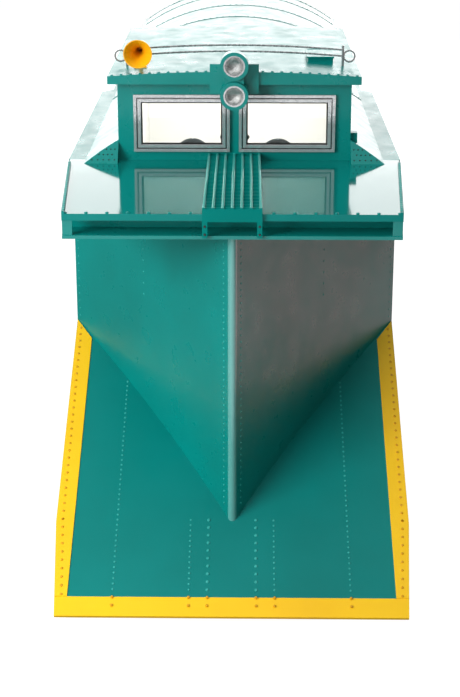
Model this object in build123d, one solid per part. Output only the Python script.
"""A railway wedge snowplow: a stem-and-share plow car for one track, modelled as separate pieces.

The frame is millimetres, +Z up, X across the track, with the cutting edge at -Y and the coupler at
+Y. Z = 0 is the level of the wheel flanges' lowest points and Y = 0 is halfway along the car.
Distances called "back" are measured from the cutting edge towards the rear.
"""
import os
from math import cos, pi, radians, sin, sqrt, tan

from build123d import *

# ---------------------------------------------------------------- driving dimensions
LENGTH = 12000.0              # cutting edge to coupler pulling face
WIDTH = 3180.0                # across the share and the wing canopies
TIP_WIDTH = WIDTH - 132.0     # across the share at the cutting edge
TIP_FLARE = 780.0             # the share reaches its full width this far back
SHARE_SLOPE = 31.0            # degrees
SHARE_CLEARANCE = 75.0        # cutting edge above the rail
SHARE_PLATE = 16.0
FLANGE_DROP = 28.0            # wheel flanges reach this far below the rail

STEM_BACK = 820.0             # the stem stands on the share here
STEM_WIDTH = 78.0
STEM_DEPTH = 55.0
STEM_NOSE = 28.0              # bulge of the stem's rounded front
CORNER_BACK = 2760.0          # the moldboards end here, at full width
MOLDBOARD_HOLLOW = 45.0       # how far the moldboards curve in from a straight line
MOLDBOARD_DEPTH = 15.0        # moldboard plate, measured along the car

DECK_TOP = 3503.0
DECK_EDGE = 60.0
CORNICE_DROP = 221.0          # deck top down to the underside of the cornice
SOFFIT_PLATE = 30.0
DECK_FRONT_BACK = 670.0
DECK_FRONT_HALF = WIDTH / 2 - 160.0
DECK_REAR_BACK = CORNER_BACK - 425.0
DECK_REAR_HALF = WIDTH / 2 - 15.0
WEB_RECESS = 250.0

BODY_WALL = 12.0
BODY_HALF = WIDTH / 2 - 132.0
BODY_REAR_BACK = LENGTH - 600.0
FLOOR_Z = 1180.0
FLOOR_PLATE = 40.0
SILL_DEPTH = 280.0
EAVE_HALF = BODY_HALF - 30.7    # where the arched roof meets the eaves
ROOF_RISE = 461.0
ROOF_SHELL = 30.0

CAB_BACK = CORNER_BACK - 270.0
CAB_LENGTH = 2600.0
CAB_HALF = BODY_HALF - 350.0
CAB_WALL = 40.0
CAB_TOP = DECK_TOP + 755.0
CAB_ROOF_HALF = CAB_HALF + 84.0
CAB_ROOF_EDGE = 76.0
CAB_ROOF_RISE = 46.0
CAB_ROOF_OVERHANG = 110.0
WINDOW_GAP = 86.0             # the mullion between the windscreens
WINDOW_WIDTH = CAB_HALF - WINDOW_GAP / 2 - 150.0
WINDOW_HEIGHT = 555.0
WINDOW_SILL = DECK_TOP + 85.0
WINDOW_FRAME = 72.0

WHEEL_RADIUS = 419.0
BACK_TO_BACK = 1360.0
WHEELBASE = 1700.0
FRONT_TRUCK_BACK = CORNER_BACK + 690.0
REAR_TRUCK_BACK = LENGTH - 2300.0

WING_LENGTH = 2580.0
WING_PLATE = 12.0
WING_BOTTOM = 1330.0
WING_TOP = DECK_TOP - 383.0
PIN_RADIUS = 15.0
RUNNING_FIT = 0.05
CLEARANCE = 0.3

# ---------------------------------------------------------------- derived places
FRONT_Y = -LENGTH / 2
REAR_Y = LENGTH / 2
HALF = WIDTH / 2
AXLE_Z = WHEEL_RADIUS + FLANGE_DROP
EDGE_Z = FLANGE_DROP + SHARE_CLEARANCE
SOFFIT_Z = DECK_TOP - CORNICE_DROP
DECK_UNDER = DECK_TOP - DECK_EDGE
BULKHEAD_BACK = CORNER_BACK + MOLDBOARD_DEPTH
BULKHEAD_PLATE = 12.0
BODY_FRONT_BACK = BULKHEAD_BACK + BULKHEAD_PLATE
SILL_UNDER = FLOOR_Z - SILL_DEPTH
CAB_REAR_BACK = CAB_BACK + CAB_LENGTH
ROOF_FRONT_BACK = CAB_BACK + 10
ROOF_CROWN = DECK_TOP + ROOF_RISE
ROOF_RADIUS = (EAVE_HALF ** 2 + ROOF_RISE ** 2) / (2 * ROOF_RISE)
ROOF_CENTRE_Z = ROOF_CROWN - ROOF_RADIUS
EAVE_INNER = sqrt((ROOF_RADIUS - ROOF_SHELL) ** 2 - (DECK_TOP - ROOF_CENTRE_Z) ** 2)
HINGE_X = HALF - 45.0
HINGE_BACK = BODY_FRONT_BACK + 113.0
MIRROR = (-1, 1)

nodes = {}


def at(back):
    """The Y of a place this far back from the cutting edge."""
    return FRONT_Y + back


def block(x0, x1, y0, y1, z0, z1):
    """A box between two corners, given in either order."""
    size = (abs(x1 - x0), abs(y1 - y0), abs(z1 - z0))
    centre = ((x0 + x1) / 2, (y0 + y1) / 2, (z0 + z1) / 2)
    return Pos(*centre) * Box(*size)


def rod(start, end, radius):
    """A round bar between two points."""
    direction = Vector(*end) - Vector(*start)
    place = Plane(origin=start, z_dir=direction)
    return place * Cylinder(radius, direction.length, align=(Align.CENTER, Align.CENTER, Align.MIN))


def along_x(x0, x1, y, z, radius):
    """A round bar lying across the car."""
    return rod((x0, y, z), (x1, y, z), radius)


def along_y(x, y0, y1, z, radius):
    """A round bar lying along the car."""
    return rod((x, y0, z), (x, y1, z), radius)


def upright(x, y, z0, z1, radius):
    """A round bar standing up."""
    return rod((x, y, z0), (x, y, z1), radius)


def tube(start, end, radius, bore):
    """A round tube between two points."""
    return rod(start, end, radius) - rod(start, end, bore)


def plan_plate(points, z0, z1):
    """A flat plate drawn in plan, as points of x and distance back."""
    outline = Polyline(*[(x, at(back)) for x, back in points], close=True)
    return extrude(Plane.XY.offset(z0) * make_face(outline), z1 - z0)


def side_plate(points, x0, x1):
    """A flat plate drawn from the side, as points of y and z."""
    outline = Polyline(*[(x0, y, z) for y, z in points], close=True)
    return extrude(make_face(outline), x1 - x0, dir=(1, 0, 0))


def keep(name, *pieces):
    """Put separate pieces in one named node."""
    nodes[name] = [solid for piece in pieces for solid in piece.solids()]


# ---------------------------------------------------------------- the share
slope = radians(SHARE_SLOPE)
share_normal = (0, -sin(slope), cos(slope))
share_plane = Plane(origin=(0, FRONT_Y, EDGE_Z), x_dir=(1, 0, 0), z_dir=share_normal)
BLADE_REACH = 180.0           # cutting edge, measured up the slope
BLADE_THICK = 32.0
BORDER_INSET = 164.0          # width of the edge plates at the corner
BORDER_PLATE = 8.0


def share_top(back):
    """Height of the share's upper face."""
    return EDGE_Z + back * tan(slope)


def up_slope(back):
    """Distance along the share's face for a distance back."""
    return back / cos(slope)


def share_slab(points, low, high):
    """A plate lying in the share, as points of x and distance up the slope."""
    outline = Polyline(*points, close=True)
    return extrude(share_plane.offset(low) * make_face(outline), high - low)


def share_half_width(run):
    """Half width of the share at a distance up the slope."""
    flare = min(run / up_slope(TIP_FLARE), 1.0)
    return TIP_WIDTH / 2 + (HALF - TIP_WIDTH / 2) * flare


def above_share(low):
    """Everything above a level in the share's plane, to cut what stands on it."""
    align = (Align.CENTER, Align.CENTER, Align.MIN)
    return share_plane.offset(low) * Box(LENGTH, LENGTH, LENGTH, align=align)


def below_share(low):
    """Everything below a level in the share's plane."""
    align = (Align.CENTER, Align.CENTER, Align.MAX)
    return share_plane.offset(low) * Box(LENGTH, LENGTH, LENGTH, align=align)


blade_half = share_half_width(BLADE_REACH)
flare_run = up_slope(TIP_FLARE)
share_outline = [
    (-blade_half, BLADE_REACH),
    (blade_half, BLADE_REACH),
    (HALF, flare_run),
    (HALF, up_slope(BULKHEAD_BACK) + SHARE_PLATE),
    (-HALF, up_slope(BULKHEAD_BACK) + SHARE_PLATE),
    (-HALF, flare_run),
]
behind_bulkhead = block(-HALF - 10, HALF + 10, at(BULKHEAD_BACK), REAR_Y, 0, DECK_TOP)
keep("share_plate", share_slab(share_outline, -SHARE_PLATE, 0) - behind_bulkhead)

tip_half = TIP_WIDTH / 2
blade_outline = [(-tip_half, 0), (tip_half, 0), (blade_half, BLADE_REACH), (-blade_half, BLADE_REACH)]
blade = share_slab(blade_outline, -BLADE_THICK, 0)
ahead_of_tip = block(-HALF, HALF, FRONT_Y - 200, FRONT_Y, -200, 300)
keep("cutting_edge", blade - ahead_of_tip)


def share_border(side):
    """The riveted edge plate on one side of the share, ending in a point at the moldboard."""
    inner = HALF - BORDER_INSET
    along = (inner - STEM_WIDTH / 2) / (HALF - STEM_WIDTH / 2)
    meet = STEM_BACK + (CORNER_BACK - STEM_BACK) * along
    points = [
        (side * inner, BLADE_REACH),
        (side * (blade_half - 2), BLADE_REACH),
        (side * (HALF - 2), flare_run),
        (side * (HALF - 2), up_slope(CORNER_BACK) - 4),
        (side * inner, up_slope(meet) - 4),
    ]
    return share_slab(points, 0, BORDER_PLATE)


keep("share_edge_plates", *[share_border(side) for side in MIRROR])

# ---------------------------------------------------------------- the stem and moldboards
stem_half = STEM_WIDTH / 2


def moldboard(side):
    """One upright moldboard, hollow in plan, from the stem out to the corner."""
    start = Vector(side * stem_half, at(STEM_BACK))
    end = Vector(side * HALF, at(CORNER_BACK))
    chord = end - start
    inward = Vector(-side * chord.Y, side * chord.X).normalized() * MOLDBOARD_HOLLOW
    middle = (start + end) * 0.5 + Vector(inward.X, abs(inward.Y))
    depth = Vector(0, MOLDBOARD_DEPTH)
    face = make_face([
        ThreePointArc(start, middle, end),
        Line(end, end + depth),
        ThreePointArc(end + depth, middle + depth, start + depth),
        Line(start + depth, start),
    ])
    board = extrude(face, SOFFIT_Z)
    return board - below_share(0) - share_border(side)


keep("moldboard_left", moldboard(-1))
keep("moldboard_right", moldboard(1))

stem_y = at(STEM_BACK)
stem_face = make_face([
    ThreePointArc((-stem_half, stem_y), (0, stem_y - STEM_NOSE), (stem_half, stem_y)),
    Line((stem_half, stem_y), (stem_half, stem_y + STEM_DEPTH)),
    Line((stem_half, stem_y + STEM_DEPTH), (-stem_half, stem_y + STEM_DEPTH)),
    Line((-stem_half, stem_y + STEM_DEPTH), (-stem_half, stem_y)),
])
keep("stem_bar", extrude(stem_face, SOFFIT_Z) - below_share(0))

DIAPHRAGM_LEVELS = (SOFFIT_Z - 1382.0, SOFFIT_Z - 882.0, SOFFIT_Z - 382.0)
DIAPHRAGM_PLATE = 14.0


def diaphragm(level):
    """A level stiffening plate inside the wedge, cut clear of the hollow moldboards."""
    margin = MOLDBOARD_HOLLOW + 2 * MOLDBOARD_DEPTH
    width = HALF - margin
    points = [(0, STEM_BACK + STEM_DEPTH + margin), (width, BULKHEAD_BACK), (-width, BULKHEAD_BACK)]
    return plan_plate(points, level, level + DIAPHRAGM_PLATE) - below_share(0)


bulkhead = block(-HALF, HALF, at(BULKHEAD_BACK), at(BODY_FRONT_BACK), FLOOR_Z, DECK_UNDER)
keep("nose_bracing", bulkhead, *[diaphragm(level) for level in DIAPHRAGM_LEVELS])

# ---------------------------------------------------------------- the cornice and deck
SHELF_BACK = BODY_FRONT_BACK + WING_LENGTH + 330.0
GUSSET_WIDTH = 86.0
WEB_PLATE = 12.0
DECK_LIP = 26.0
LIP_HEIGHT = 22.0

deck_points = [
    (DECK_FRONT_HALF, DECK_FRONT_BACK),
    (DECK_REAR_HALF, DECK_REAR_BACK),
    (DECK_REAR_HALF, ROOF_FRONT_BACK),
    (EAVE_INNER, ROOF_FRONT_BACK),
    (EAVE_INNER, BODY_FRONT_BACK),
]
deck_outline = deck_points + [(-x, back) for x, back in reversed(deck_points)]

soffit_points = [
    (DECK_FRONT_HALF, DECK_FRONT_BACK),
    (HALF, ROOF_FRONT_BACK),
    (HALF, BULKHEAD_BACK),
]
soffit_outline = soffit_points + [(-x, back) for x, back in reversed(soffit_points)]
web_z = (SOFFIT_Z + SOFFIT_PLATE, DECK_UNDER)
web_half = DECK_FRONT_HALF - 50
web_back = DECK_FRONT_BACK + WEB_RECESS
cornice = [plan_plate(soffit_outline, SOFFIT_Z, SOFFIT_Z + SOFFIT_PLATE)]
cornice.append(block(-web_half, web_half, at(web_back), at(web_back) + WEB_PLATE, *web_z))
for side in MIRROR:
    side_web = [
        (side * web_half, web_back),
        (side * (web_half + WEB_PLATE), web_back),
        (side * (HALF - 50 + WEB_PLATE), BULKHEAD_BACK),
        (side * (HALF - 50), BULKHEAD_BACK),
    ]
    cornice.append(plan_plate(side_web, *web_z))
    gusset_y = at(DECK_FRONT_BACK) + 10
    cornice.append(block(side * (DECK_FRONT_HALF - GUSSET_WIDTH), side * (DECK_FRONT_HALF - 2),
                         gusset_y, gusset_y + WEB_PLATE, *web_z))
keep("cornice", *cornice)


def deck_lip(side):
    """The raised riveted strip along one edge of the deck."""
    points = [
        (side * DECK_FRONT_HALF, DECK_FRONT_BACK),
        (side * DECK_REAR_HALF, DECK_REAR_BACK),
        (side * (DECK_REAR_HALF - DECK_LIP), DECK_REAR_BACK),
        (side * (DECK_FRONT_HALF - DECK_LIP), DECK_FRONT_BACK),
    ]
    return plan_plate(points, DECK_TOP, DECK_TOP + LIP_HEIGHT)


deck = plan_plate(deck_outline, DECK_UNDER, DECK_TOP)
keep("deck_plate", deck, *[deck_lip(side) for side in MIRROR])

BOARD_WIDTH = 504.0
BOARD_TOP = DECK_TOP + 62.0
BOARD_THICK = 18.0
RIBS = 7
RIB_WIDTH = 26.0
RIB_PROUD = 10.0
RISER_HEIGHT = BOARD_TOP - RIB_PROUD - BOARD_THICK - DECK_TOP
board_front = DECK_FRONT_BACK - 30
rib_pitch = (BOARD_WIDTH - RIB_WIDTH) / (RIBS - 1)
board = block(-BOARD_WIDTH / 2, BOARD_WIDTH / 2, at(board_front), at(CAB_BACK),
              DECK_TOP + RISER_HEIGHT, BOARD_TOP - RIB_PROUD)
for index in range(RIBS):
    x0 = -BOARD_WIDTH / 2 + index * rib_pitch
    board += block(x0, x0 + RIB_WIDTH, at(board_front), at(CAB_BACK), BOARD_TOP - RIB_PROUD - 1, BOARD_TOP)

RISERS = 4
risers = []
riser_pitch = (CAB_BACK - DECK_FRONT_BACK - 140) / (RISERS - 1)
for index in range(RISERS):
    riser_y = at(DECK_FRONT_BACK + 60 + index * riser_pitch)
    risers.append(block(-BOARD_WIDTH / 2, BOARD_WIDTH / 2, riser_y, riser_y + 50,
                        DECK_TOP, DECK_TOP + RISER_HEIGHT))
for side in MIRROR:
    outer = side * BOARD_WIDTH / 2
    risers.append(block(outer, outer - side * 44, at(board_front), at(DECK_FRONT_BACK),
                        SOFFIT_Z + 20, DECK_TOP + RISER_HEIGHT))
risers.append(block(-BOARD_WIDTH / 2 + 44, BOARD_WIDTH / 2 - 44, at(board_front), at(DECK_FRONT_BACK),
                    DECK_UNDER, DECK_TOP + RISER_HEIGHT))
keep("running_board", board, *risers)


def eave_shelf(side):
    """The eave along one side, wide where it shelters the wing."""
    points = [
        (side * EAVE_INNER, ROOF_FRONT_BACK),
        (side * HALF, ROOF_FRONT_BACK),
        (side * HALF, SHELF_BACK),
        (side * (BODY_HALF + 12), SHELF_BACK + 150),
        (side * (BODY_HALF + 12), BODY_REAR_BACK),
        (side * EAVE_INNER, BODY_REAR_BACK),
    ]
    return plan_plate(points, DECK_UNDER, DECK_TOP)


deck_cut = plan_plate(deck_outline, DECK_UNDER - 1, DECK_TOP + 1)
keep("eave_shelves", *[eave_shelf(side) - deck_cut for side in MIRROR])

# ---------------------------------------------------------------- the underframe
CENTRE_SILL_HALF = 160.0
SIDE_SILL_WIDTH = 140.0
SILL_FRONT_BACK = 1200.0
SILL_REAR_BACK = BODY_REAR_BACK - 400.0
BOLSTER_DEPTH = 100.0
BOLSTER_HALF_LENGTH = 160.0
wall_inner = BODY_HALF - BODY_WALL


def sill(x0, x1, rear_back):
    """A longitudinal sill, its front end cut to lie under the share."""
    beam = block(x0, x1, at(SILL_FRONT_BACK), at(rear_back), SILL_UNDER, FLOOR_Z)
    return beam - above_share(-SHARE_PLATE)


sills = [sill(-CENTRE_SILL_HALF, CENTRE_SILL_HALF, SILL_REAR_BACK)]
for side in MIRROR:
    sills.append(sill(side * wall_inner, side * (wall_inner - SIDE_SILL_WIDTH), BODY_REAR_BACK))
keep("underframe_sills", *sills)

bolsters = []
for truck_back in (FRONT_TRUCK_BACK, REAR_TRUCK_BACK):
    bolsters.append(block(-wall_inner, wall_inner, at(truck_back) - BOLSTER_HALF_LENGTH,
                          at(truck_back) + BOLSTER_HALF_LENGTH, SILL_UNDER - BOLSTER_DEPTH, SILL_UNDER))

JACK_PAD = 180.0
JACK_THICK = 24.0
pads = []
for back in (FRONT_TRUCK_BACK, REAR_TRUCK_BACK):
    for side in MIRROR:
        centre = side * (wall_inner - 100)
        pads.append(block(centre - JACK_PAD / 2, centre + JACK_PAD / 2, at(back) - JACK_PAD / 2,
                          at(back) + JACK_PAD / 2, SILL_UNDER - BOLSTER_DEPTH - JACK_THICK,
                          SILL_UNDER - BOLSTER_DEPTH))
keep("body_bolsters", *bolsters, *pads)

# ---------------------------------------------------------------- the coupler and end sill
COUPLER_Z = FLANGE_DROP + 876.0
SHANK = 130.0
DRAW_PIN_RADIUS = 40.0
POCKET_HALF = 120.0
POCKET_PLATE = 24.0
END_SILL_DEPTH = 60.0
pocket_y = (at(SILL_REAR_BACK), at(BODY_REAR_BACK))
draw_pin_y = at(SILL_REAR_BACK) + 150.0
pocket_z = (COUPLER_Z - SHANK / 2 - 2, COUPLER_Z + SHANK / 2 + 2)
end_beam = block(-BODY_HALF, BODY_HALF, at(BODY_REAR_BACK), at(BODY_REAR_BACK) + END_SILL_DEPTH,
                 SILL_UNDER - 80, FLOOR_Z)
end_beam -= block(-POCKET_HALF, POCKET_HALF, at(BODY_REAR_BACK) - 1,
                  at(BODY_REAR_BACK) + END_SILL_DEPTH + 1, *pocket_z)

draft = []
for side in MIRROR:
    draft.append(block(side * POCKET_HALF, side * (POCKET_HALF + POCKET_PLATE), *pocket_y,
                       pocket_z[0] - POCKET_PLATE, FLOOR_Z))
for low, high in ((pocket_z[0] - POCKET_PLATE, pocket_z[0]), (pocket_z[1], pocket_z[1] + POCKET_PLATE)):
    plate = block(-POCKET_HALF, POCKET_HALF, *pocket_y, low, high)
    draft.append(plate - upright(0, draw_pin_y, low - 1, high + 1, DRAW_PIN_RADIUS))
draft.append(upright(0, draw_pin_y, pocket_z[0] - POCKET_PLATE - 20, pocket_z[1] + POCKET_PLATE,
                     DRAW_PIN_RADIUS))
TOW_EYE_X = 600.0
TOW_EYE_RADIUS = 32.0
TOW_EYE_PLATE = 30.0
tow_eye_y = at(BODY_REAR_BACK) + END_SILL_DEPTH + 55
tow_eye_z = SILL_UNDER + 60
tow_eyes = []
for side in MIRROR:
    x = side * TOW_EYE_X
    eye = block(x - TOW_EYE_PLATE / 2, x + TOW_EYE_PLATE / 2, at(BODY_REAR_BACK) + END_SILL_DEPTH,
                tow_eye_y, tow_eye_z - 60, tow_eye_z + 60)
    eye += along_x(x - TOW_EYE_PLATE / 2, x + TOW_EYE_PLATE / 2, tow_eye_y, tow_eye_z, 60)
    eye -= along_x(x - TOW_EYE_PLATE, x + TOW_EYE_PLATE, tow_eye_y, tow_eye_z, TOW_EYE_RADIUS)
    tow_eyes.append(eye)
keep("end_sill", end_beam, *draft, *tow_eyes)

HEAD_BACK = 330.0             # the coupler head starts this far ahead of its pulling face
KNUCKLE_PIN_X = 105.0
KNUCKLE_PIN_RADIUS = 20.0
head_y = REAR_Y - HEAD_BACK
knuckle_pin_y = REAR_Y - 130.0
head_z = (COUPLER_Z - 140, COUPLER_Z + 140)
shank_z = (COUPLER_Z - SHANK / 2, COUPLER_Z + SHANK / 2)
shank = block(-SHANK / 2, SHANK / 2, draw_pin_y, head_y + 20, *shank_z)
shank += upright(0, draw_pin_y, *shank_z, SHANK / 2)
head_outline = [(-150, head_y), (150, head_y), (150, knuckle_pin_y - 45), (-40, knuckle_pin_y - 45),
                (-90, REAR_Y - 60), (-170, REAR_Y - 20), (-190, REAR_Y - 90)]
head_face = make_face(Polyline(*head_outline, close=True))
head = extrude(Plane.XY.offset(head_z[0]) * head_face, head_z[1] - head_z[0])
for low in (head_z[0], head_z[1] - 40):
    ear = block(60, 150, knuckle_pin_y - 46, knuckle_pin_y, low, low + 40)
    ear += upright(KNUCKLE_PIN_X, knuckle_pin_y, low, low + 40, 45)
    head += ear
draw_bore = upright(0, draw_pin_y, COUPLER_Z - SHANK, COUPLER_Z + SHANK, DRAW_PIN_RADIUS + RUNNING_FIT)
knuckle_pin = upright(KNUCKLE_PIN_X, knuckle_pin_y, *head_z, KNUCKLE_PIN_RADIUS)
keep("coupler_head", shank + head - draw_bore - knuckle_pin, knuckle_pin)

knuckle_z = (head_z[0] + 40 + CLEARANCE, head_z[1] - 40 - CLEARANCE)
knuckle_outline = [(KNUCKLE_PIN_X - 30, knuckle_pin_y - 30), (KNUCKLE_PIN_X + 28, knuckle_pin_y - 22),
                   (KNUCKLE_PIN_X + 40, REAR_Y - 30), (KNUCKLE_PIN_X + 10, REAR_Y), (-30, REAR_Y),
                   (-50, REAR_Y - 40), (20, REAR_Y - 70), (KNUCKLE_PIN_X - 30, REAR_Y - 90)]
knuckle = extrude(Plane.XY.offset(knuckle_z[0]) * make_face(Polyline(*knuckle_outline, close=True)),
                  knuckle_z[1] - knuckle_z[0])
knuckle_bore = upright(KNUCKLE_PIN_X, knuckle_pin_y, *head_z, KNUCKLE_PIN_RADIUS + RUNNING_FIT)
keep("coupler_knuckle", knuckle - knuckle_bore)

# ---------------------------------------------------------------- the body
SIDE_WINDOW_Z = (DECK_TOP - 1053.0, DECK_TOP - 453.0)
SIDE_WINDOWS_BACK = ((LENGTH - 4800.0, LENGTH - 4100.0), (LENGTH - 3400.0, LENGTH - 2700.0))
DOOR_HALF = 400.0
DOOR_TOP = DECK_TOP - 353.0
WING_RAM_BACK = HINGE_BACK + 1000.0
WING_RAM_Z = (WING_BOTTOM + WING_TOP) / 2
RAM_ROD_RADIUS = 30.0


def body_side(side):
    """One side wall, with windows and the hole for the wing's push rod."""
    wall = block(side * wall_inner, side * BODY_HALF, at(BODY_FRONT_BACK), at(BODY_REAR_BACK),
                 SILL_UNDER, DECK_UNDER)
    through = (side * (wall_inner - 1), side * (BODY_HALF + 1))
    for start, end in SIDE_WINDOWS_BACK:
        wall -= block(*through, at(start), at(end), *SIDE_WINDOW_Z)
    return wall - along_x(*through, at(WING_RAM_BACK), WING_RAM_Z, RAM_ROD_RADIUS + 12)


keep("body_sides", body_side(-1), body_side(1))

rear_wall = block(-wall_inner, wall_inner, at(BODY_REAR_BACK) - BODY_WALL, at(BODY_REAR_BACK),
                  FLOOR_Z, DECK_UNDER)
rear_wall -= block(-DOOR_HALF, DOOR_HALF, at(BODY_REAR_BACK) - BODY_WALL - 1, at(BODY_REAR_BACK) + 1,
                   FLOOR_Z + FLOOR_PLATE, DOOR_TOP)

floor = block(-wall_inner, wall_inner, at(BODY_FRONT_BACK), at(BODY_REAR_BACK) - BODY_WALL,
              FLOOR_Z, FLOOR_Z + FLOOR_PLATE)

roof_end_back = BODY_REAR_BACK + 70


def arch_solid(radius, y0, y1):
    """A solid cylinder under the arched roof's curve, from y0 back to y1."""
    face = Plane(origin=(0, y0, ROOF_CENTRE_Z), x_dir=(1, 0, 0), z_dir=(0, -1, 0)) * Circle(radius)
    return extrude(face, y0 - y1)


roof_shell = arch_solid(ROOF_RADIUS, at(ROOF_FRONT_BACK), at(roof_end_back))
roof_shell -= arch_solid(ROOF_RADIUS - ROOF_SHELL, at(ROOF_FRONT_BACK) - 1, at(roof_end_back) + 1)
roof_zone = block(-HALF, HALF, at(ROOF_FRONT_BACK) - 1, at(roof_end_back) + 1, DECK_TOP, ROOF_CROWN + 10)
cab_hole = block(-CAB_HALF, CAB_HALF, at(ROOF_FRONT_BACK) - 2, at(CAB_REAR_BACK), DECK_TOP - 5,
                 ROOF_CROWN + 20)

MARKER_WIDTH = 66.0           # the small box on the arched roof beside the cab
MARKER_LENGTH = 90.0
marker_y = at(ROOF_FRONT_BACK) + 40
marker_top = ROOF_CENTRE_Z + sqrt(ROOF_RADIUS ** 2 - CAB_HALF ** 2) + 64
marker_box = block(CAB_HALF + 2, CAB_HALF + 2 + MARKER_WIDTH, marker_y, marker_y + MARKER_LENGTH,
                   DECK_TOP, marker_top)
marker_box -= arch_solid(ROOF_RADIUS, marker_y - 10, marker_y + MARKER_LENGTH + 10)
keep("body_roof", (roof_shell & roof_zone) - cab_hole, marker_box)

rear_wall_y = (at(BODY_REAR_BACK) - BODY_WALL, at(BODY_REAR_BACK))
gable = arch_solid(ROOF_RADIUS - ROOF_SHELL - CLEARANCE, *rear_wall_y)
gable &= block(-HALF, HALF, *rear_wall_y, DECK_TOP, ROOF_CROWN)
tie_beam = block(-EAVE_INNER, EAVE_INNER, *rear_wall_y, DECK_UNDER, DECK_TOP)


def roof_arch(x):
    """Height of the arched roof's upper face."""
    return ROOF_CENTRE_Z + sqrt(ROOF_RADIUS ** 2 - x ** 2)


def roof_fairing(side):
    """The sloping plate between the deck and the front of the arched roof, beside the cab."""
    rise = roof_arch(CAB_HALF) - DECK_TOP
    run = ROOF_FRONT_BACK - DECK_REAR_BACK
    foot = (at(DECK_REAR_BACK), DECK_TOP)
    wedge = side_plate([foot, (foot[0] + run, DECK_TOP), (foot[0] + run, DECK_TOP + rise)],
                       side * CAB_HALF, side * EAVE_HALF)
    return wedge & arch_solid(ROOF_RADIUS, foot[0] - 1, foot[0] + run + 1)


keep("roof_fairings", *[roof_fairing(side) for side in MIRROR])

# ---------------------------------------------------------------- the cab
front_y = at(CAB_BACK)
rear_y = at(CAB_REAR_BACK)
cab_foot = roof_arch(CAB_HALF) - ROOF_SHELL - 30
window_centres = [side * (WINDOW_GAP + WINDOW_WIDTH) / 2 for side in MIRROR]
window_top = WINDOW_SILL + WINDOW_HEIGHT


def window_hole(x, y0, y1):
    """The opening for one windscreen."""
    return block(x - WINDOW_WIDTH / 2, x + WINDOW_WIDTH / 2, y0, y1, WINDOW_SILL, window_top)


cab_front = block(-CAB_HALF, CAB_HALF, front_y, front_y + CAB_WALL, DECK_TOP, CAB_TOP)
for x in window_centres:
    cab_front -= window_hole(x, front_y - 1, front_y + CAB_WALL + 1)
keep("cab_front_wall", cab_front)

FRAME_PROUD = 22.0
PANE = 8.0
frames = []
panes = []
for x in window_centres:
    outer = window_hole(x, front_y - FRAME_PROUD, front_y + CAB_WALL)
    inner = block(x - WINDOW_WIDTH / 2 + WINDOW_FRAME, x + WINDOW_WIDTH / 2 - WINDOW_FRAME,
                  front_y - FRAME_PROUD - 1, front_y + CAB_WALL + 1,
                  WINDOW_SILL + WINDOW_FRAME, window_top - WINDOW_FRAME)
    frames.append(outer - inner)
    panes.append(inner & block(-CAB_HALF, CAB_HALF, front_y + 4, front_y + 4 + PANE, DECK_TOP, CAB_TOP))
keep("windscreen_frames", *frames)

SIDE_OPENING_BACK = (300.0, 1500.0)   # from the cab's front, along the side
SIDE_OPENING_Z = (DECK_TOP + 317.0, DECK_TOP + 687.0)
SASH_WIDTH = 620.0
SASH_FRAME = 40.0
SASH_THICK = 18.0
REAR_OPENING_Z = (DECK_TOP + 507.0, DECK_TOP + 677.0)
REAR_OPENING_X = CAB_HALF / 2 + 6.0
REAR_OPENING_HALF = REAR_OPENING_X - 180.0


def cab_side(side):
    """One side wall of the cab with its window opening."""
    wall = block(side * (CAB_HALF - CAB_WALL), side * CAB_HALF, front_y + CAB_WALL, rear_y,
                 cab_foot, CAB_TOP)
    through = (side * (CAB_HALF - CAB_WALL - 1), side * (CAB_HALF + 1))
    opening = block(*through, front_y + SIDE_OPENING_BACK[0], front_y + SIDE_OPENING_BACK[1],
                    *SIDE_OPENING_Z)
    shelf = block(*through, front_y + CAB_WALL - 1, at(BODY_FRONT_BACK), cab_foot - 1, DECK_TOP)
    return wall - opening - shelf


cab_rear = block(-CAB_HALF + CAB_WALL, CAB_HALF - CAB_WALL, rear_y - CAB_WALL, rear_y,
                 cab_foot, CAB_TOP)
for side in MIRROR:
    centre = side * REAR_OPENING_X
    hole = block(centre - REAR_OPENING_HALF, centre + REAR_OPENING_HALF, rear_y - CAB_WALL - 1,
                 rear_y + 1, *REAR_OPENING_Z)
    cab_rear -= hole
    panes.append(hole & block(-CAB_HALF, CAB_HALF, rear_y - 24, rear_y - 24 + PANE, DECK_TOP, CAB_TOP))
    side_pane = block(side * (CAB_HALF - 14), side * (CAB_HALF - 14 + PANE),
                      front_y + SIDE_OPENING_BACK[0] + SASH_WIDTH - SASH_FRAME,
                      front_y + SIDE_OPENING_BACK[1], *SIDE_OPENING_Z)
    panes.append(side_pane)
    for start, end in SIDE_WINDOWS_BACK:
        panes.append(block(side * (wall_inner + 2), side * (wall_inner + 2 + PANE), at(start),
                           at(end), *SIDE_WINDOW_Z))
keep("cab_side_walls", cab_side(-1), cab_side(1), cab_rear)
keep("window_panes", *panes)


def sash(side):
    """A framed pane that slides back past the fixed pane."""
    x0 = side * (CAB_HALF - 14 - CLEARANCE)
    x1 = x0 - side * SASH_THICK
    y0 = front_y + SIDE_OPENING_BACK[0] + CLEARANCE
    z0, z1 = (SIDE_OPENING_Z[0] + CLEARANCE, SIDE_OPENING_Z[1] - CLEARANCE)
    outer = block(x0, x1, y0, y0 + SASH_WIDTH, z0, z1)
    inner = block(x0 + side, x1 - side, y0 + SASH_FRAME, y0 + SASH_WIDTH - SASH_FRAME,
                  z0 + SASH_FRAME, z1 - SASH_FRAME)
    pane_x = (x0 + x1) / 2
    pane = inner & block(pane_x - 3, pane_x + 3, y0, y0 + SASH_WIDTH, z0, z1)
    return outer - inner, pane


keep("cab_sash_left", *sash(-1))
keep("cab_sash_right", *sash(1))

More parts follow.
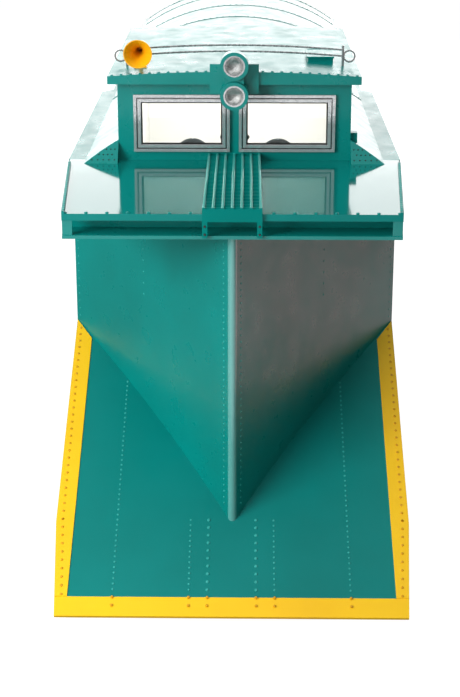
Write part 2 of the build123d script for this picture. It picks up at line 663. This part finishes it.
cab_roof_radius = (CAB_ROOF_HALF ** 2 + CAB_ROOF_RISE ** 2) / (2 * CAB_ROOF_RISE)
cab_roof_top = CAB_TOP + CAB_ROOF_EDGE + CAB_ROOF_RISE
roof_y = (front_y - CAB_ROOF_OVERHANG, rear_y + CAB_ROOF_OVERHANG)
roof_edge_z = CAB_TOP + CAB_ROOF_EDGE
roof_profile = make_face([
    Line((-CAB_ROOF_HALF, roof_y[0], CAB_TOP), (CAB_ROOF_HALF, roof_y[0], CAB_TOP)),
    Line((CAB_ROOF_HALF, roof_y[0], CAB_TOP), (CAB_ROOF_HALF, roof_y[0], roof_edge_z)),
    ThreePointArc((CAB_ROOF_HALF, roof_y[0], roof_edge_z), (0, roof_y[0], cab_roof_top),
                  (-CAB_ROOF_HALF, roof_y[0], roof_edge_z)),
    Line((-CAB_ROOF_HALF, roof_y[0], roof_edge_z), (-CAB_ROOF_HALF, roof_y[0], CAB_TOP)),
])
cab_roof = extrude(roof_profile, roof_y[1] - roof_y[0], dir=(0, 1, 0))


def cab_roof_z(x):
    """Height of the cab roof's upper face."""
    return cab_roof_top - cab_roof_radius + sqrt(cab_roof_radius ** 2 - x ** 2)


# ---------------------------------------------------------------- the roof vent with its hinged lid
VENT_X = (CAB_HALF - 396.0, CAB_HALF - 150.0)
VENT_LENGTH = 400.0
VENT_LID = 16.0
VENT_PIN_RADIUS = 6.0
vent_y = front_y + 520.0
vent_z = cab_roof_z(VENT_X[0]) + 34
vent_seat = block(*VENT_X, vent_y, vent_y + VENT_LENGTH, roof_edge_z - 10, vent_z)
vent_pin_y = vent_y + VENT_LENGTH + 14
vent_pin_z = vent_z + VENT_PIN_RADIUS + 4
vent_pin = along_x(VENT_X[0] + 10, VENT_X[1] - 10, vent_pin_y, vent_pin_z, VENT_PIN_RADIUS)
vent_lugs = []
for x in (VENT_X[0] + 10, VENT_X[1] - 30):
    lug = block(x, x + 20, vent_y + VENT_LENGTH, vent_pin_y + 10, roof_edge_z - 10, vent_pin_z)
    lug += along_x(x, x + 20, vent_pin_y, vent_pin_z, 10)
    vent_lugs.append(lug)
vent_box = vent_seat - block(VENT_X[0] + 12, VENT_X[1] - 12, vent_y + 12, vent_y + VENT_LENGTH - 12,
                             roof_edge_z - 11, vent_z + 1)
for lug in vent_lugs:
    vent_box += lug
keep("cab_roof", cab_roof, vent_box - cab_roof - vent_pin, vent_pin)

lid = block(VENT_X[0] - 10, VENT_X[1] + 10, vent_y - 12, vent_pin_y - 15, vent_z + CLEARANCE,
            vent_z + CLEARANCE + VENT_LID)
lid_x = (VENT_X[0] + 32, VENT_X[1] - 32)
lid += block(*lid_x, vent_pin_y - 16, vent_pin_y, vent_z + CLEARANCE + 4, vent_z + CLEARANCE + VENT_LID)
lid += along_x(*lid_x, vent_pin_y, vent_pin_z, 10)
lid -= along_x(lid_x[0] - 5, lid_x[1] + 5, vent_pin_y, vent_pin_z, VENT_PIN_RADIUS + RUNNING_FIT)
keep("roof_vent_lid", lid)

# ---------------------------------------------------------------- headlights, horn and roof rails
LAMP_SPACING = 281.0
LAMP_RADIUS = 132.0
LAMP_DEPTH = 130.0
LENS_RADIUS = 84.0
BEZEL_RADIUS = 100.0
BRACKET_HALF = 229.0
BRACKET_PLATE = 24.0
lamp_low_z = CAB_TOP - 82.0
lamp_heights = (lamp_low_z, lamp_low_z + LAMP_SPACING)
bracket_y = front_y - CAB_ROOF_OVERHANG - BRACKET_PLATE
lamp_face_y = bracket_y - LAMP_DEPTH
bracket = block(-BRACKET_HALF, BRACKET_HALF, bracket_y, bracket_y + BRACKET_PLATE, *lamp_heights)
bracket += block(-90, 90, bracket_y - LAMP_DEPTH + 30, bracket_y, *lamp_heights)
bracket += block(-40, 40, bracket_y + BRACKET_PLATE, front_y, lamp_low_z - 40, CAB_TOP)
bezels = []
lenses = []
for z in lamp_heights:
    bracket += along_y(0, lamp_face_y, bracket_y + 1, z, LAMP_RADIUS)
for z in lamp_heights:
    bracket -= along_y(0, lamp_face_y - 1, lamp_face_y + 60, z, BEZEL_RADIUS)
    bezels.append(tube((0, lamp_face_y + 2, z), (0, lamp_face_y + 60, z), BEZEL_RADIUS, LENS_RADIUS))
    lenses.append(along_y(0, lamp_face_y + 20, lamp_face_y + 60, z, LENS_RADIUS))
keep("headlight_case", bracket)
keep("headlight_bezels", *bezels)
keep("headlight_lenses", *lenses)

HORN_X = 207.0 - CAB_HALF
HORN_RADIUS = 135.0
HORN_THROAT = 34.0
HORN_LENGTH = 330.0
HORN_WALL = 9.0
horn_z = cab_roof_z(HORN_X) + HORN_RADIUS + 55
horn_y = front_y - CAB_ROOF_OVERHANG
bell = make_face([
    Line((HORN_RADIUS, 0), (HORN_RADIUS - HORN_WALL, 0)),
    ThreePointArc((HORN_RADIUS - HORN_WALL, 0), (HORN_THROAT + 22, 110),
                  (HORN_THROAT - HORN_WALL, HORN_LENGTH)),
    Line((HORN_THROAT - HORN_WALL, HORN_LENGTH), (HORN_THROAT, HORN_LENGTH)),
    ThreePointArc((HORN_THROAT, HORN_LENGTH), (HORN_THROAT + 31, 113), (HORN_RADIUS, 0)),
])
horn_bell = Pos(HORN_X, horn_y, horn_z) * revolve(bell, axis=Axis.Y)
horn_driver = along_y(HORN_X, horn_y + HORN_LENGTH, horn_y + HORN_LENGTH + 90, horn_z, 62)
horn_foot = block(HORN_X - 20, HORN_X + 20, horn_y + HORN_LENGTH + 10, horn_y + HORN_LENGTH + 80,
                  cab_roof_z(HORN_X - 40) + 2, horn_z - 50)
horn_base = block(HORN_X - 60, HORN_X + 60, horn_y + HORN_LENGTH, horn_y + HORN_LENGTH + 90,
                  cab_roof_z(HORN_X + 60) - 12, cab_roof_z(HORN_X + 60) + 12)
keep("air_horn", horn_bell, horn_driver, (horn_foot + horn_base) - cab_roof - horn_driver)

RAIL_RADIUS = 9.0
RAIL_HALF = CAB_HALF - 58.0
RAIL_HEIGHTS = (105.0, 165.0)
RAIL_CAMBER = 46.0
rail_y = front_y + 400
rails = []
for height in RAIL_HEIGHTS:
    base = roof_edge_z + height
    path = ThreePointArc((-RAIL_HALF, rail_y, base), (0, rail_y, base + RAIL_CAMBER),
                         (RAIL_HALF, rail_y, base))
    rails.append(sweep(Plane(origin=path @ 0, z_dir=path % 0) * Circle(RAIL_RADIUS), path=path))
posts = []
for side in MIRROR:
    x = side * (RAIL_HALF - 6)
    post = upright(x, rail_y, cab_roof_z(RAIL_HALF), roof_edge_z + RAIL_HEIGHTS[1] + 45, 12)
    loop_z = roof_edge_z + RAIL_HEIGHTS[0]
    loop = Pos(x + side * 62, rail_y, loop_z) * Rot(90, 0, 0) * Torus(54, RAIL_RADIUS)
    posts.append(post + loop)
rail_group = posts[0] + posts[1] + rails[0] + rails[1]
keep("roof_rails", rail_group - cab_roof)

# ---------------------------------------------------------------- inside the cab and body
PLATFORM_Z = DECK_TOP - 953.0
platform = block(-wall_inner, wall_inner, at(BODY_FRONT_BACK), at(CAB_REAR_BACK) - 500,
                 PLATFORM_Z, PLATFORM_Z + 40)
platform_posts = []
for side in MIRROR:
    for back in (BODY_FRONT_BACK + 60, CAB_REAR_BACK - 620):
        post = block(side * (wall_inner - 116), side * (wall_inner - 56), at(back), at(back) + 60,
                     FLOOR_Z + FLOOR_PLATE, PLATFORM_Z)
        platform_posts.append(post)
keep("body_floors", floor, platform, *platform_posts)

SEAT_BACK_RADIUS = 190.0
seats = []
for x in (-440.0, 440.0):
    seat_y = at(BODY_FRONT_BACK) + 520
    column = upright(x, seat_y, PLATFORM_Z + 40, PLATFORM_Z + 480, 40)
    pad = upright(x, seat_y, PLATFORM_Z + 480, PLATFORM_Z + 560, 210)
    back_rest = along_y(x, seat_y + 190, seat_y + 250, PLATFORM_Z + 710, SEAT_BACK_RADIUS)
    strut_y = (seat_y + 190, seat_y + 230)
    back_rest += block(x - 60, x + 60, *strut_y, PLATFORM_Z + 560, PLATFORM_Z + 720)
    foot = block(x - 60, x + 60, seat_y + 150, seat_y + 230, PLATFORM_Z + 500, PLATFORM_Z + 560)
    seats += [column, pad, back_rest + (foot - pad)]
keep("crew_seats", *seats)

STAND_X = 260.0
stand_y = at(BODY_FRONT_BACK) + 60
stand_top = PLATFORM_Z + 40 + 720
LEVER_PIN_RADIUS = 12.0
lever_slots = (-120.0, 0.0, 120.0)
stand = block(-STAND_X, STAND_X, stand_y, stand_y + 200, PLATFORM_Z + 40, stand_top)
lever_pin_z = stand_top + 40
for x in (-180.0, -60.0, 60.0, 180.0):
    stand += block(x - 10, x + 10, stand_y + 60, stand_y + 140, stand_top, lever_pin_z + 25)
lever_pin = along_x(-200, 200, stand_y + 100, lever_pin_z, LEVER_PIN_RADIUS)
keep("control_stand", stand - lever_pin, lever_pin)


def control_lever(x):
    """A lever that swings fore and aft on the control stand's pin."""
    hub = along_x(x - 20, x + 20, stand_y + 100, lever_pin_z, 24)
    arm = upright(x, stand_y + 100, lever_pin_z + 15, lever_pin_z + 260, 9)
    knob = Pos(x, stand_y + 100, lever_pin_z + 270) * Sphere(26)
    bore = along_x(x - 30, x + 30, stand_y + 100, lever_pin_z, LEVER_PIN_RADIUS + RUNNING_FIT)
    return hub + arm + knob - bore


keep("left_wing_lever", control_lever(lever_slots[0]))
keep("flanger_lever", control_lever(lever_slots[1]))
keep("right_wing_lever", control_lever(lever_slots[2]))

RESERVOIR_RADIUS = 230.0
reservoir_back = FRONT_TRUCK_BACK + 0.488 * (REAR_TRUCK_BACK - FRONT_TRUCK_BACK)
reservoir_z = FLOOR_Z - RESERVOIR_RADIUS - 40
tank = along_x(-700, 700, at(reservoir_back), reservoir_z, RESERVOIR_RADIUS)
tank = tank - block(-CENTRE_SILL_HALF - 10, CENTRE_SILL_HALF + 10, at(reservoir_back) - 300,
                    at(reservoir_back) + 300, SILL_UNDER - 5, FLOOR_Z)
straps = []
for x in (-500.0, 500.0):
    strap = block(x - 25, x + 25, at(reservoir_back) - 60, at(reservoir_back) + 60, reservoir_z, FLOOR_Z)
    straps.append(strap - tank)
keep("air_reservoir", tank, *straps)

# ---------------------------------------------------------------- wings and what pushes them
POST_DEPTH = 58.0
LUG_Z = (WING_BOTTOM - 50.0, (WING_BOTTOM + WING_TOP) / 2 - 20, WING_TOP + 10.0)
LUG_THICK = 40.0
BARREL_RADIUS = 28.0
RIB_HEIGHT = 60.0
RIB_INSET = 90.0
hinge_y = at(HINGE_BACK)
wing_rib_inner = HALF - RIB_INSET


def wing_post(side):
    """The hinge post at the wedge's corner, with three lugs."""
    post = block(side * BODY_HALF, side * (HALF - 10), at(BODY_FRONT_BACK),
                 at(BODY_FRONT_BACK) + POST_DEPTH, SILL_UNDER + 120, DECK_UNDER)
    for z in LUG_Z:
        lug = block(side * (HINGE_X - 20), side * (HINGE_X + 20), at(BODY_FRONT_BACK) + POST_DEPTH - 1,
                    hinge_y, z, z + LUG_THICK)
        lug += upright(side * HINGE_X, hinge_y, z, z + LUG_THICK, 20)
        post += lug
    return post


def wing_pin(side):
    """The long pin through one wing's hinge."""
    return upright(side * HINGE_X, hinge_y, LUG_Z[0] - 15, LUG_Z[2] + LUG_THICK + 15, PIN_RADIUS)


posts_and_pins = []
for side in MIRROR:
    posts_and_pins += [wing_post(side) - wing_pin(side), wing_pin(side)]
keep("wing_posts", *posts_and_pins)


def wing(side):
    """One side wing: a tall plate on three ribs, with its hinge barrels."""
    outer = HALF - 3
    leaf = block(side * (outer - WING_PLATE), side * outer, hinge_y, hinge_y + WING_LENGTH,
                 WING_BOTTOM, WING_TOP)
    rib_y = hinge_y + 40
    for z in (WING_BOTTOM + 60, WING_RAM_Z - RIB_HEIGHT / 2, WING_TOP - 60 - RIB_HEIGHT):
        leaf += block(side * wing_rib_inner, side * (outer - WING_PLATE + 1), rib_y,
                      hinge_y + WING_LENGTH - 80, z, z + RIB_HEIGHT)
    for low, high in ((LUG_Z[0] + LUG_THICK, LUG_Z[1]), (LUG_Z[1] + LUG_THICK, LUG_Z[2])):
        z0 = low + CLEARANCE
        z1 = high - CLEARANCE
        leaf += upright(side * HINGE_X, hinge_y, z0, z1, BARREL_RADIUS)
        z0 = max(z0, WING_BOTTOM)
        z1 = min(z1, WING_TOP)
        leaf += block(side * HINGE_X, side * (outer - WING_PLATE + 1), hinge_y, hinge_y + 41, z0, z1)
        leaf += block(side * wing_rib_inner, side * HINGE_X, hinge_y + 26, hinge_y + 41, z0 + 40, z1 - 40)
    bore = upright(side * HINGE_X, hinge_y, LUG_Z[0] - 40, LUG_Z[2] + 80, PIN_RADIUS + RUNNING_FIT)
    return leaf - bore


keep("wing_left", wing(-1))
keep("wing_right", wing(1))

RAM_BARREL_RADIUS = 72.0
RAM_BORE = 60.0
RAM_OUTER = BODY_HALF - 158.0
RAM_INNER = max(RAM_OUTER - 1240.0, 30.0)
RAM_ROD_LENGTH = 900.0
ram_y = at(WING_RAM_BACK)
rams = []
for side in MIRROR:
    outside = along_x(side * RAM_INNER, side * RAM_OUTER, ram_y, WING_RAM_Z, RAM_BARREL_RADIUS)
    cavity = along_x(side * (RAM_INNER + 20), side * (RAM_OUTER - 30), ram_y, WING_RAM_Z, RAM_BORE)
    gland = along_x(side * (RAM_OUTER - 40), side * (RAM_OUTER + 1), ram_y, WING_RAM_Z,
                    RAM_ROD_RADIUS + RUNNING_FIT)
    rams.append(outside - cavity - gland)
    for x in (side * 220, side * (RAM_OUTER - 150)):
        stand_leg = block(x - 30, x + 30, ram_y - 60, ram_y + 60, FLOOR_Z + FLOOR_PLATE, WING_RAM_Z - 30)
        rams.append(stand_leg - outside)
keep("wing_rams", *rams)


def push_rod(side):
    """The ram's rod with its piston and the round end that pushes the wing."""
    tip = wing_rib_inner - CLEARANCE
    inner = tip - RAM_ROD_LENGTH
    ball_x = side * (tip - RAM_ROD_RADIUS)
    piece = along_x(side * inner, ball_x, ram_y, WING_RAM_Z, RAM_ROD_RADIUS)
    piece += Pos(ball_x, ram_y, WING_RAM_Z) * Sphere(RAM_ROD_RADIUS)
    piece += along_x(side * inner, side * (inner + 50), ram_y, WING_RAM_Z, RAM_BORE - RUNNING_FIT)
    return piece


keep("push_rod_left", push_rod(-1))
keep("push_rod_right", push_rod(1))

# ---------------------------------------------------------------- flanger
FLANGER_BACK = 1640.0
FLANGER_HALF = 860.0
FLANGER_BOTTOM = FLANGE_DROP + 120.0
FLANGER_HEIGHT = 300.0
GUIDE_X = 300.0
flanger_y = at(FLANGER_BACK)
blade_plate = block(-FLANGER_HALF, FLANGER_HALF, flanger_y, flanger_y + 25,
                    FLANGER_BOTTOM, FLANGER_BOTTOM + FLANGER_HEIGHT)
for side in MIRROR:
    blade_plate += block(side * GUIDE_X - 30, side * GUIDE_X + 30, flanger_y + 24, flanger_y + 64,
                         FLANGER_BOTTOM + 100, SILL_UNDER - 40)
keep("flanger_blade", blade_plate)

guides = []
for side in MIRROR:
    x = side * GUIDE_X
    inner = 30 + CLEARANCE
    y1 = flanger_y + 64 + CLEARANCE
    guide = block(x - inner - 20, x + inner + 20, flanger_y + 26, y1 + 20, SILL_UNDER - 260, SILL_UNDER)
    guide -= block(x - inner, x + inner, flanger_y + 24, y1, SILL_UNDER - 261, SILL_UNDER - 20)
    guides.append(guide)
for side in MIRROR:
    bracket = block(side * CENTRE_SILL_HALF, side * (GUIDE_X + 60), flanger_y - 20, flanger_y + 100,
                    SILL_UNDER, SILL_UNDER + 30)
    guides.append(bracket - above_share(-SHARE_PLATE))
keep("flanger_guides", *guides)

# ---------------------------------------------------------------- trucks and wheelsets
SIDE_FRAME_X = (950.0, 1060.0)
JOURNAL_RADIUS = 62.0
JOURNAL_END = 1045.0
SPRING_RADIUS = 70.0
SPRING_OFFSET = 95.0
TRUCK_WINDOW = (190.0, 335.0, 722.0)   # half length, bottom and top of the bolster's window
FRAME_TOP = 772.0
TRUCK_BOLSTER_Z = (600.0, 720.0)
CENTRE_PLATE_RADIUS = 180.0


def side_frame(centre_y, side):
    """A cast truck side frame, with the bolster's window and two lightening holes."""
    end = WHEELBASE / 2 + 150
    half = [(end, 360), (end, 555), (690, 600), (430, FRAME_TOP), (0, FRAME_TOP)]
    lower = [(0, 250), (330, 250), (700, 360)]
    outline = [(centre_y + y, z) for y, z in half] + [(centre_y - y, z) for y, z in reversed(half[:-1])]
    outline += [(centre_y - y, z) for y, z in reversed(lower)] + [(centre_y + y, z) for y, z in lower[1:]]
    frame = side_plate(outline, side * SIDE_FRAME_X[0], side * SIDE_FRAME_X[1])
    cut_x = (side * (SIDE_FRAME_X[0] - 1), side * (SIDE_FRAME_X[1] + 1))
    window_half, window_low, window_high = TRUCK_WINDOW
    frame -= block(*cut_x, centre_y - window_half, centre_y + window_half, window_low, window_high)
    for way in MIRROR:
        hole = [(centre_y + way * 270, 350), (centre_y + way * 270, 690), (centre_y + way * 400, 690),
                (centre_y + way * 620, 530), (centre_y + way * 620, 420)]
        frame -= side_plate(hole, *cut_x)
        axle_y = centre_y + way * WHEELBASE / 2
        frame -= along_x(*cut_x, axle_y, AXLE_Z, JOURNAL_RADIUS + RUNNING_FIT)
    return frame


def truck(prefix, back):
    """One two-axle truck: side frames, bolster and springs."""
    centre_y = at(back)
    frames = [side_frame(centre_y, side) for side in MIRROR]
    bolster = block(-SIDE_FRAME_X[1] - 20, SIDE_FRAME_X[1] + 20, centre_y - TRUCK_WINDOW[0],
                    centre_y + TRUCK_WINDOW[0], *TRUCK_BOLSTER_Z)
    plate_z = (TRUCK_BOLSTER_Z[1], SILL_UNDER - BOLSTER_DEPTH)
    bolster += upright(0, centre_y, plate_z[0] - 1, plate_z[1], CENTRE_PLATE_RADIUS)
    keep(prefix + "_truck_frames", *frames, bolster)
    springs = []
    for side in MIRROR:
        for offset in (-SPRING_OFFSET, SPRING_OFFSET):
            x = side * sum(SIDE_FRAME_X) / 2
            foot = (x, centre_y + offset, TRUCK_WINDOW[1])
            head = (x, centre_y + offset, TRUCK_BOLSTER_Z[0])
            springs.append(tube(foot, head, SPRING_RADIUS, SPRING_RADIUS - 24))
    keep(prefix + "_truck_springs", *springs)


def wheelset(name, y):
    """Two flanged wheels pressed on one axle."""
    tread = WHEEL_RADIUS
    flange = tread + FLANGE_DROP
    profile = [(0, 0), (flange - 14, 0), (flange, 12), (flange - 4, 24), (tread + 2, 36), (tread - 4, 134),
               (tread - 60, 134), (tread - 64, 92), (160, 70), (150, 150), (0, 150)]
    outline = Polyline(*[(BACK_TO_BACK / 2 + along, radius) for radius, along in profile], close=True)
    pieces = []
    for side in MIRROR:
        wheel = revolve(make_face(outline), axis=Axis.X)
        wheel -= rod((0, 0, 0), (JOURNAL_END + 100, 0, 0), 85)
        if side < 0:
            wheel = mirror(wheel, about=Plane.YZ)
        pieces.append(Pos(0, y, AXLE_Z) * wheel)
    shaft = along_x(-JOURNAL_END, JOURNAL_END, y, AXLE_Z, JOURNAL_RADIUS)
    middle = BACK_TO_BACK / 2 + 150
    shaft += along_x(-middle, middle, y, AXLE_Z, 85)
    keep(name, *pieces, shaft)


truck("front", FRONT_TRUCK_BACK)
truck("rear", REAR_TRUCK_BACK)
number = 1
for back in (FRONT_TRUCK_BACK, REAR_TRUCK_BACK):
    for end in (-1, 1):
        wheelset(f"wheelset_{number}", at(back) + end * WHEELBASE / 2)
        number += 1

# ---------------------------------------------------------------- rear end fittings
DOOR_THICK = 40.0
DOOR_OVERLAP = 30.0
door_y = at(BODY_REAR_BACK) + CLEARANCE
DOOR_PIN_RADIUS = 8.0
door_pin_x = -DOOR_HALF - DOOR_OVERLAP - 20
door_pin_y = at(BODY_REAR_BACK) + 22
door = block(-DOOR_HALF - DOOR_OVERLAP, DOOR_HALF + DOOR_OVERLAP, door_y, door_y + DOOR_THICK,
             FLOOR_Z + FLOOR_PLATE - 20, DOOR_TOP + DOOR_OVERLAP)
DOOR_LIGHT_Z = (DOOR_TOP - 800.0, DOOR_TOP - 200.0)
DOOR_KNOB_Z = 2150.0
door -= block(-240, 240, door_y - 1, door_y + DOOR_THICK + 1, *DOOR_LIGHT_Z)
door_glass = block(-240, 240, door_y + 14, door_y + 22, *DOOR_LIGHT_Z)
door_knob = along_y(DOOR_HALF - 40, door_y + DOOR_THICK, door_y + DOOR_THICK + 60, DOOR_KNOB_Z, 24)
hinge_pins = []
for z in (1500.0, DOOR_TOP - 300.0):
    door += block(door_pin_x, -DOOR_HALF - DOOR_OVERLAP + 1, door_pin_y - 6, door_pin_y + 6,
                  z + 42, z + 98)
    door += upright(door_pin_x, door_pin_y, z + 42, z + 98, 16)
    for low, high in ((z, z + 40), (z + 100, z + 140)):
        lug = upright(door_pin_x, door_pin_y, low, high, 16)
        lug += block(door_pin_x - 60, door_pin_x, at(BODY_REAR_BACK), door_pin_y - 4, low, high)
        hinge_pins.append(lug - upright(door_pin_x, door_pin_y, low - 1, high + 1, DOOR_PIN_RADIUS))
    hinge_pins.append(upright(door_pin_x, door_pin_y, z - 8, z + 148, DOOR_PIN_RADIUS))
door -= upright(door_pin_x, door_pin_y, FLOOR_Z, DOOR_TOP, DOOR_PIN_RADIUS + RUNNING_FIT)
keep("rear_door", door, door_glass, door_knob)
keep("body_rear_wall", rear_wall, gable, tie_beam, *hinge_pins)

BRAKE_X = 900.0
BRAKE_Z = 2050.0
BRAKE_RADIUS = 280.0
brake_y = at(BODY_REAR_BACK) + 190
BRAKE_SHAFT_RADIUS = 18.0
gear_case = block(BRAKE_X - 90, BRAKE_X + 90, at(BODY_REAR_BACK), at(BODY_REAR_BACK) + 110,
                  BRAKE_Z - 160, BRAKE_Z + 110)
shaft_bore = along_y(BRAKE_X, at(BODY_REAR_BACK) + 20, brake_y, BRAKE_Z, BRAKE_SHAFT_RADIUS + RUNNING_FIT)
keep("brake_gear_case", gear_case - shaft_bore)
wheel_rim = Pos(BRAKE_X, brake_y, BRAKE_Z) * Rot(90, 0, 0) * Torus(BRAKE_RADIUS, 16)
brake_wheel = wheel_rim + along_y(BRAKE_X, brake_y - 25, brake_y + 25, BRAKE_Z, 45)
for index in range(4):
    angle = pi / 4 + index * pi / 2
    tip = (BRAKE_X + BRAKE_RADIUS * cos(angle), brake_y, BRAKE_Z + BRAKE_RADIUS * sin(angle))
    brake_wheel += rod((BRAKE_X, brake_y, BRAKE_Z), tip, 11)
brake_wheel += along_y(BRAKE_X, at(BODY_REAR_BACK) + 21, brake_y, BRAKE_Z, BRAKE_SHAFT_RADIUS)
keep("brake_wheel", brake_wheel)

RUNG_RADIUS = 11.0
LADDER_BACK = (BODY_REAR_BACK - 1100.0, BODY_REAR_BACK - 640.0)
LADDER_RUNGS = 8
ladder_z = (1150.0, DECK_TOP - 203.0)
ladders = []
for side in MIRROR:
    x = side * (BODY_HALF + 70)
    for back in LADDER_BACK:
        ladders.append(block(x - 12, x + 12, at(back) - 25, at(back) + 25, *ladder_z))
        for z in (ladder_z[0] + 60, ladder_z[1] - 60):
            ladders.append(block(side * BODY_HALF, x - side * 12, at(back) - 20, at(back) + 20,
                                 z - 20, z + 20))
    for index in range(LADDER_RUNGS):
        z = ladder_z[0] + 120 + index * (ladder_z[1] - ladder_z[0] - 240) / (LADDER_RUNGS - 1)
        ladders.append(along_y(x, at(LADDER_BACK[0]) + 25, at(LADDER_BACK[1]) - 25, z, RUNG_RADIUS))
keep("side_ladders", *ladders)

# ---------------------------------------------------------------- write one file per node
os.makedirs("parts", exist_ok=True)
for name, solids in nodes.items():
    export_step(Compound(children=solids), f"parts/{name}.step")
print(len(nodes), "nodes")
